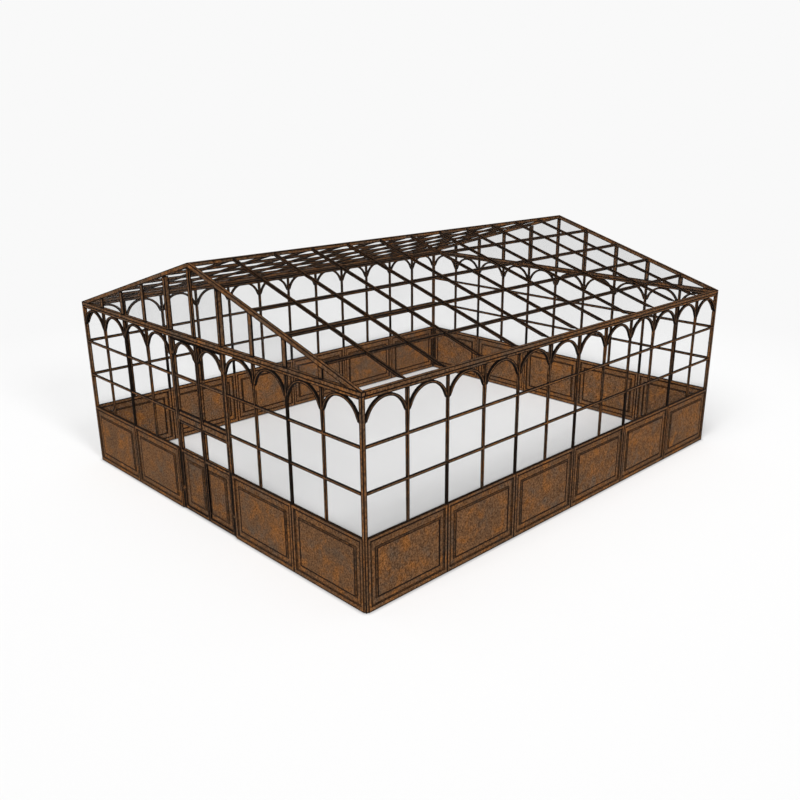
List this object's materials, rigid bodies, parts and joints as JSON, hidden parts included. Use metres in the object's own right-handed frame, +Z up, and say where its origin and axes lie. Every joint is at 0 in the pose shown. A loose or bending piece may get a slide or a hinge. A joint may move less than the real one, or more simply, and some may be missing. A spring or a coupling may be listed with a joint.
{
  "type": "greenhouse",
  "caption": "Gable-roofed glass greenhouse with a rusted iron frame, panelled base, arched lights and an outward-opening double door.",
  "frame": {"origin": "middle of the ground plan, at ground level", "axes": "+X across the gables, +Y along the ridge away from the door gable, +Z up"},
  "size_m": [6.074, 7.274, 3.331],
  "materials": {
    "rusted_frame": "rusted",
    "rusted_panel": "rusted",
    "rusted_hinge": "rusted",
    "clear_glass": "clear"
  },
  "bodies": {
    "greenhouse": {"corner_posts": "rusted_frame", "door_jambs": "rusted_frame", "left_wall_posts": "rusted_frame", "right_wall_posts": "rusted_frame", "back_wall_posts": "rusted_frame", "front_wall_posts": "rusted_frame", "left_base_panels": "rusted_panel", "right_base_panels": "rusted_panel", "back_base_panels": "rusted_panel", "front_base_panels": "rusted_panel", "left_wall_bars": "rusted_frame", "right_wall_bars": "rusted_frame", "back_wall_bars": "rusted_frame", "front_wall_bars": "rusted_frame", "left_wall_glass": "clear_glass", "right_wall_glass": "clear_glass", "back_wall_glass": "clear_glass", "front_wall_glass": "clear_glass", "left_eave_beam": "rusted_frame", "right_eave_beam": "rusted_frame", "front_tie_beam": "rusted_frame", "back_tie_beam": "rusted_frame", "front_left_gable_rafter": "rusted_frame", "front_right_gable_rafter": "rusted_frame", "back_left_gable_rafter": "rusted_frame", "back_right_gable_rafter": "rusted_frame", "front_gable_uprights": "rusted_frame", "back_gable_uprights": "rusted_frame", "front_gable_glass": "clear_glass", "back_gable_glass": "clear_glass", "ridge_beam": "rusted_frame", "left_roof_bars": "rusted_frame", "right_roof_bars": "rusted_frame", "left_roof_glass": "clear_glass", "right_roof_glass": "clear_glass", "left_jamb_pins": "rusted_hinge", "right_jamb_pins": "rusted_hinge"},
    "left_door_leaf": {"left_door_frame": "rusted_frame", "left_door_panel": "rusted_panel", "left_door_bars": "rusted_frame", "left_door_glass": "clear_glass", "left_door_eyes": "rusted_hinge"},
    "right_door_leaf": {"right_door_frame": "rusted_frame", "right_door_panel": "rusted_panel", "right_door_bars": "rusted_frame", "right_door_glass": "clear_glass", "right_door_eyes": "rusted_hinge"}
  },
  "joints": [
    {"name": "left_door_hinge", "type": "hinge", "parent": "greenhouse", "child": "left_door_leaf", "pos_m": [-0.572, -3.6305, 1.23], "axis": [0, 0, -1], "range_deg": [0, 100]},
    {"name": "right_door_hinge", "type": "hinge", "parent": "greenhouse", "child": "right_door_leaf", "pos_m": [0.572, -3.6305, 1.23], "axis": [0, 0, 1], "range_deg": [0, 100]}
  ]
}
